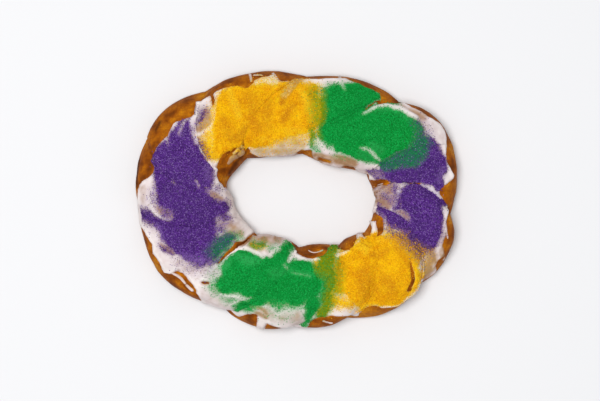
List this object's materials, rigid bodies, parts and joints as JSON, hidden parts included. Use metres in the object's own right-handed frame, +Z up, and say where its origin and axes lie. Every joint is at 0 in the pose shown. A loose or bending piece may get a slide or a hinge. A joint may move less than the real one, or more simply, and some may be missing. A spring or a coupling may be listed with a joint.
{
  "type": "king cake",
  "caption": "Oval ring of twisted sweet dough with a hole through its middle, coated on top with poured icing that drips at both edges.",
  "frame": {"origin": "middle of the bounding box's underside, on the surface the cake rests on", "axes": "+X along the oval's length, +Y across its width, +Z up through the hole"},
  "size_m": [0.355, 0.2848, 0.053],
  "materials": {
    "crust": "satin, egg-washed and baked brown",
    "icing": "semi-matt sugar icing"
  },
  "bodies": {
    "root": {"dough": "crust", "icing": "icing"}
  },
  "joints": []
}
